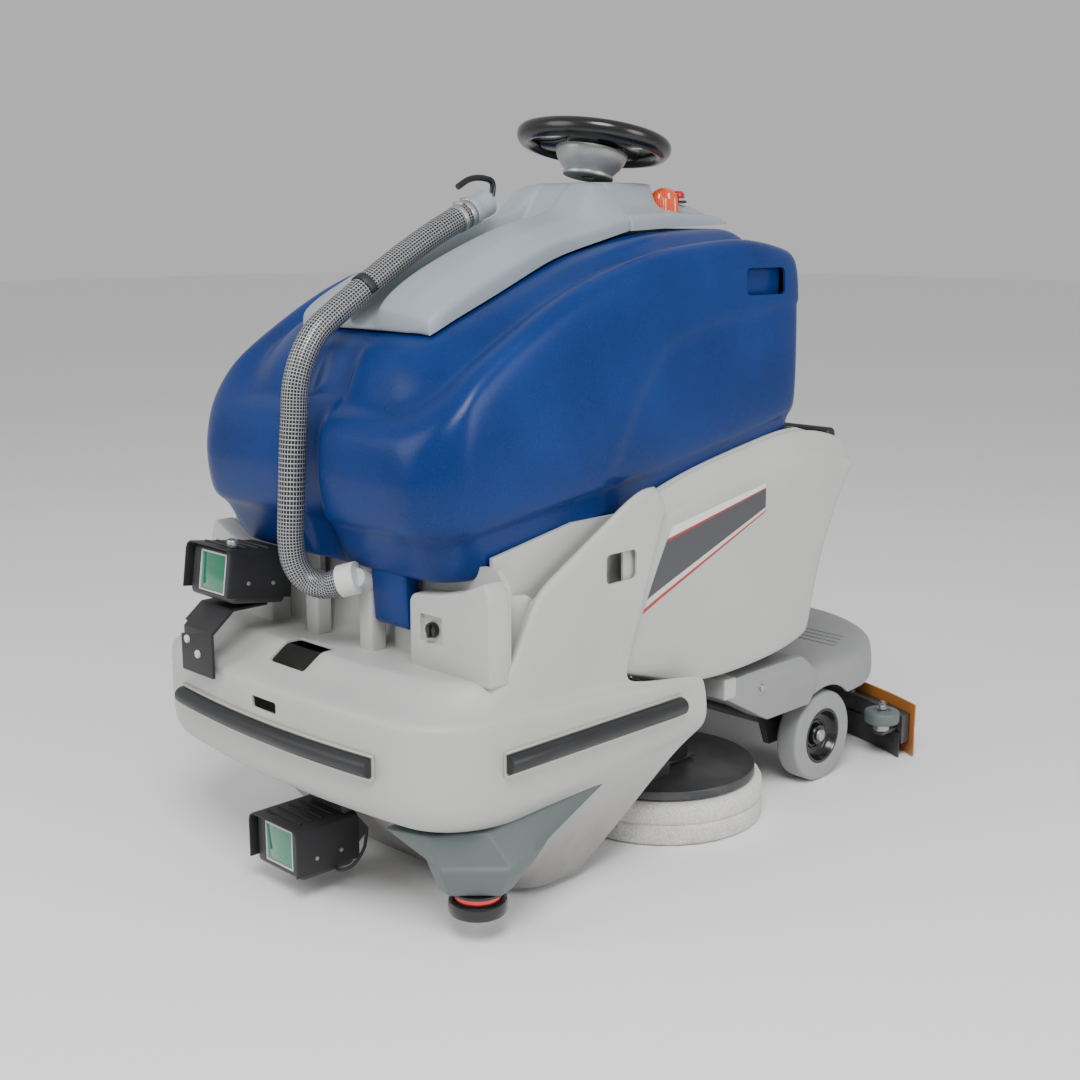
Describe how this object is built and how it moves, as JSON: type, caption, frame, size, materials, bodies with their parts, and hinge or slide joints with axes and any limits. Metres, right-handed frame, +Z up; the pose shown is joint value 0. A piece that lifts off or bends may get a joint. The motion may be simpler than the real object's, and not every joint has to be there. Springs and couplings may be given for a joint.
{
  "type": "ride-on scrubber dryer",
  "caption": "Stand-on floor scrubber dryer with blue recovery tank, disc brushes, rear squeegee, standing platform, steering wheel, drain hose, cameras and laser scanner.",
  "frame": {"origin": "centre of the footprint on the floor", "axes": "+Z up, nose towards -Y, standing platform and squeegee towards +Y, the machine's left towards +X"},
  "size_m": [0.9092, 1.6866, 1.4165],
  "materials": {
    "body_light_grey": "moulded, fine grain, semi-matt",
    "tank_blue": "rotomoulded, speckled sheen",
    "lid_cool_grey": "moulded, fine grain",
    "platform_grey": "moulded, worn",
    "gloss_black": "gloss",
    "matte_black": "matt",
    "black_rubber": "smooth rubber",
    "grey_tyre": "non-marking, worn",
    "rail_metal": "anodised",
    "satin_steel": "satin",
    "frame_steel": "satin black paint",
    "charcoal_housing": "fine texture paint",
    "green_window": "coated window",
    "scanner_grey": "moulded",
    "scanner_black": "smooth",
    "amber_rubber": "translucent rubber",
    "white_pad": "fibre pad",
    "orange_lens": "ribbed lens",
    "button_red": "gloss",
    "button_green": "gloss",
    "hose_braid": "black hose in a metal mesh braid",
    "screen_black": "screen"
  },
  "bodies": {
    "body": {"chassis_frame": "frame_steel", "front_body": "body_light_grey", "rear_body": "body_light_grey", "recovery_tank": "tank_blue", "console": "lid_cool_grey", "steering_column": "satin_steel", "beacon": "orange_lens", "display": "screen_black", "thigh_pad": "black_rubber", "front_bumper_rail": "rail_metal", "front_bumper_strip": "black_rubber", "left_bumper_rail": "rail_metal", "left_bumper_strip": "black_rubber", "right_bumper_rail": "rail_metal", "right_bumper_strip": "black_rubber", "upper_camera": "charcoal_housing", "upper_camera_window": "green_window", "lower_camera": "charcoal_housing", "lower_camera_window": "green_window", "laser_scanner": "scanner_black", "scanner_cover": "scanner_grey", "drain_outlet": "lid_cool_grey", "drain_hose_low": "hose_braid", "drain_hose_bend": "hose_braid", "left_battery": "matte_black", "right_battery": "matte_black", "control_box": "charcoal_housing", "suction_motor": "matte_black", "steering_gearmotor": "frame_steel", "rear_axle": "satin_steel", "platform": "platform_grey"},
    "lid": {"lid": "lid_cool_grey", "drain_hose_high": "hose_braid", "hose_cap": "lid_cool_grey"},
    "cap_lever": {"hose_cap_lever": "gloss_black"},
    "steering_wheel": {"steering_wheel": "gloss_black"},
    "drive_fork": {"drive_fork": "frame_steel", "traction_motor": "frame_steel"},
    "drive_wheel": {"drive_tyre": "grey_tyre", "drive_hub": "satin_steel"},
    "left_wheel": {"left_tyre": "grey_tyre", "left_hub": "matte_black"},
    "right_wheel": {"right_tyre": "grey_tyre", "right_hub": "matte_black"},
    "brush_deck": {"deck_bridge": "frame_steel", "left_brush_cover": "frame_steel", "right_brush_cover": "frame_steel", "left_brush_motor": "matte_black", "right_brush_motor": "matte_black"},
    "left_brush": {"left_brush": "white_pad"},
    "right_brush": {"right_brush": "white_pad"},
    "squeegee": {"squeegee_bar": "frame_steel", "squeegee_front_blade": "amber_rubber", "squeegee_rear_blade": "amber_rubber"},
    "left_roller": {"left_squeegee_roller": "scanner_grey"},
    "right_roller": {"right_squeegee_roller": "scanner_grey"},
    "emergency_stop": {"emergency_stop": "button_red"},
    "start_button": {"start_button": "button_green"},
    "drive_pedal": {"drive_pedal": "black_rubber"}
  },
  "joints": [
    {"name": "lid_hinge", "type": "hinge", "parent": "body", "child": "lid", "pos_m": [0, -0.5807, 0.998], "axis": [1, 0, 0], "range_deg": [0, 65], "deforming": ["drain_hose_bend"]},
    {"name": "hose_lever_turn", "type": "hinge", "parent": "lid", "child": "cap_lever", "pos_m": [0, -0.25635, 1.25215], "axis": [1, 0, 0], "range_deg": [-90, 0]},
    {"name": "steering_turn", "type": "hinge", "parent": "body", "child": "steering_wheel", "pos_m": [0, 0.0333, 1.372], "axis": [0, 0.2164, 0.9763], "range_deg": [-150, 150]},
    {"name": "fork_turn", "type": "hinge", "parent": "body", "child": "drive_fork", "pos_m": [0, -0.4467, 0.11], "axis": [0, 0, 1], "range_deg": [-50, 50]},
    {"name": "drive_wheel_spin", "type": "hinge", "parent": "drive_fork", "child": "drive_wheel", "pos_m": [0, -0.4467, 0.11], "axis": [1, 0, 0], "continuous": true},
    {"name": "left_wheel_spin", "type": "hinge", "parent": "body", "child": "left_wheel", "pos_m": [0.3645, 0.3983, 0.101], "axis": [1, 0, 0], "continuous": true},
    {"name": "right_wheel_spin", "type": "hinge", "parent": "body", "child": "right_wheel", "pos_m": [-0.3645, 0.3983, 0.101], "axis": [1, 0, 0], "continuous": true},
    {"name": "deck_lift", "type": "slide", "parent": "body", "child": "brush_deck", "axis": [0, 0, 1], "range_m": [0, 0.04]},
    {"name": "left_brush_spin", "type": "hinge", "parent": "brush_deck", "child": "left_brush", "pos_m": [0.215, 0.0213, 0], "axis": [0, 0, 1], "continuous": true},
    {"name": "right_brush_spin", "type": "hinge", "parent": "brush_deck", "child": "right_brush", "pos_m": [-0.215, 0.0213, 0], "axis": [0, 0, 1], "continuous": true},
    {"name": "squeegee_lift", "type": "hinge", "parent": "body", "child": "squeegee", "pos_m": [0, 0.3813, 0.205], "axis": [1, 0, 0], "range_deg": [0, 7]},
    {"name": "left_roller_spin", "type": "hinge", "parent": "squeegee", "child": "left_roller", "pos_m": [0.385, 0.6013, 0.105], "axis": [0, 0, 1], "continuous": true},
    {"name": "right_roller_spin", "type": "hinge", "parent": "squeegee", "child": "right_roller", "pos_m": [-0.385, 0.6013, 0.105], "axis": [0, 0, 1], "continuous": true},
    {"name": "emergency_stop_press", "type": "slide", "parent": "body", "child": "emergency_stop", "axis": [0, 0, -1], "range_m": [0, 0.004]},
    {"name": "start_button_press", "type": "slide", "parent": "body", "child": "start_button", "axis": [0, 0, -1], "range_m": [0, 0.004], "stiffness_N_per_m": 400, "springref_m": -0.002},
    {"name": "pedal_press", "type": "hinge", "parent": "body", "child": "drive_pedal", "pos_m": [0.13, 0.5033, 0.272], "axis": [1, 0, 0], "range_deg": [0, 8], "stiffness_Nm_per_rad": 12, "springref_deg": -5.73}
  ],
  "couplings": [
    {"joint": "fork_turn", "follows": "steering_turn", "ratio": 0.33333}
  ]
}
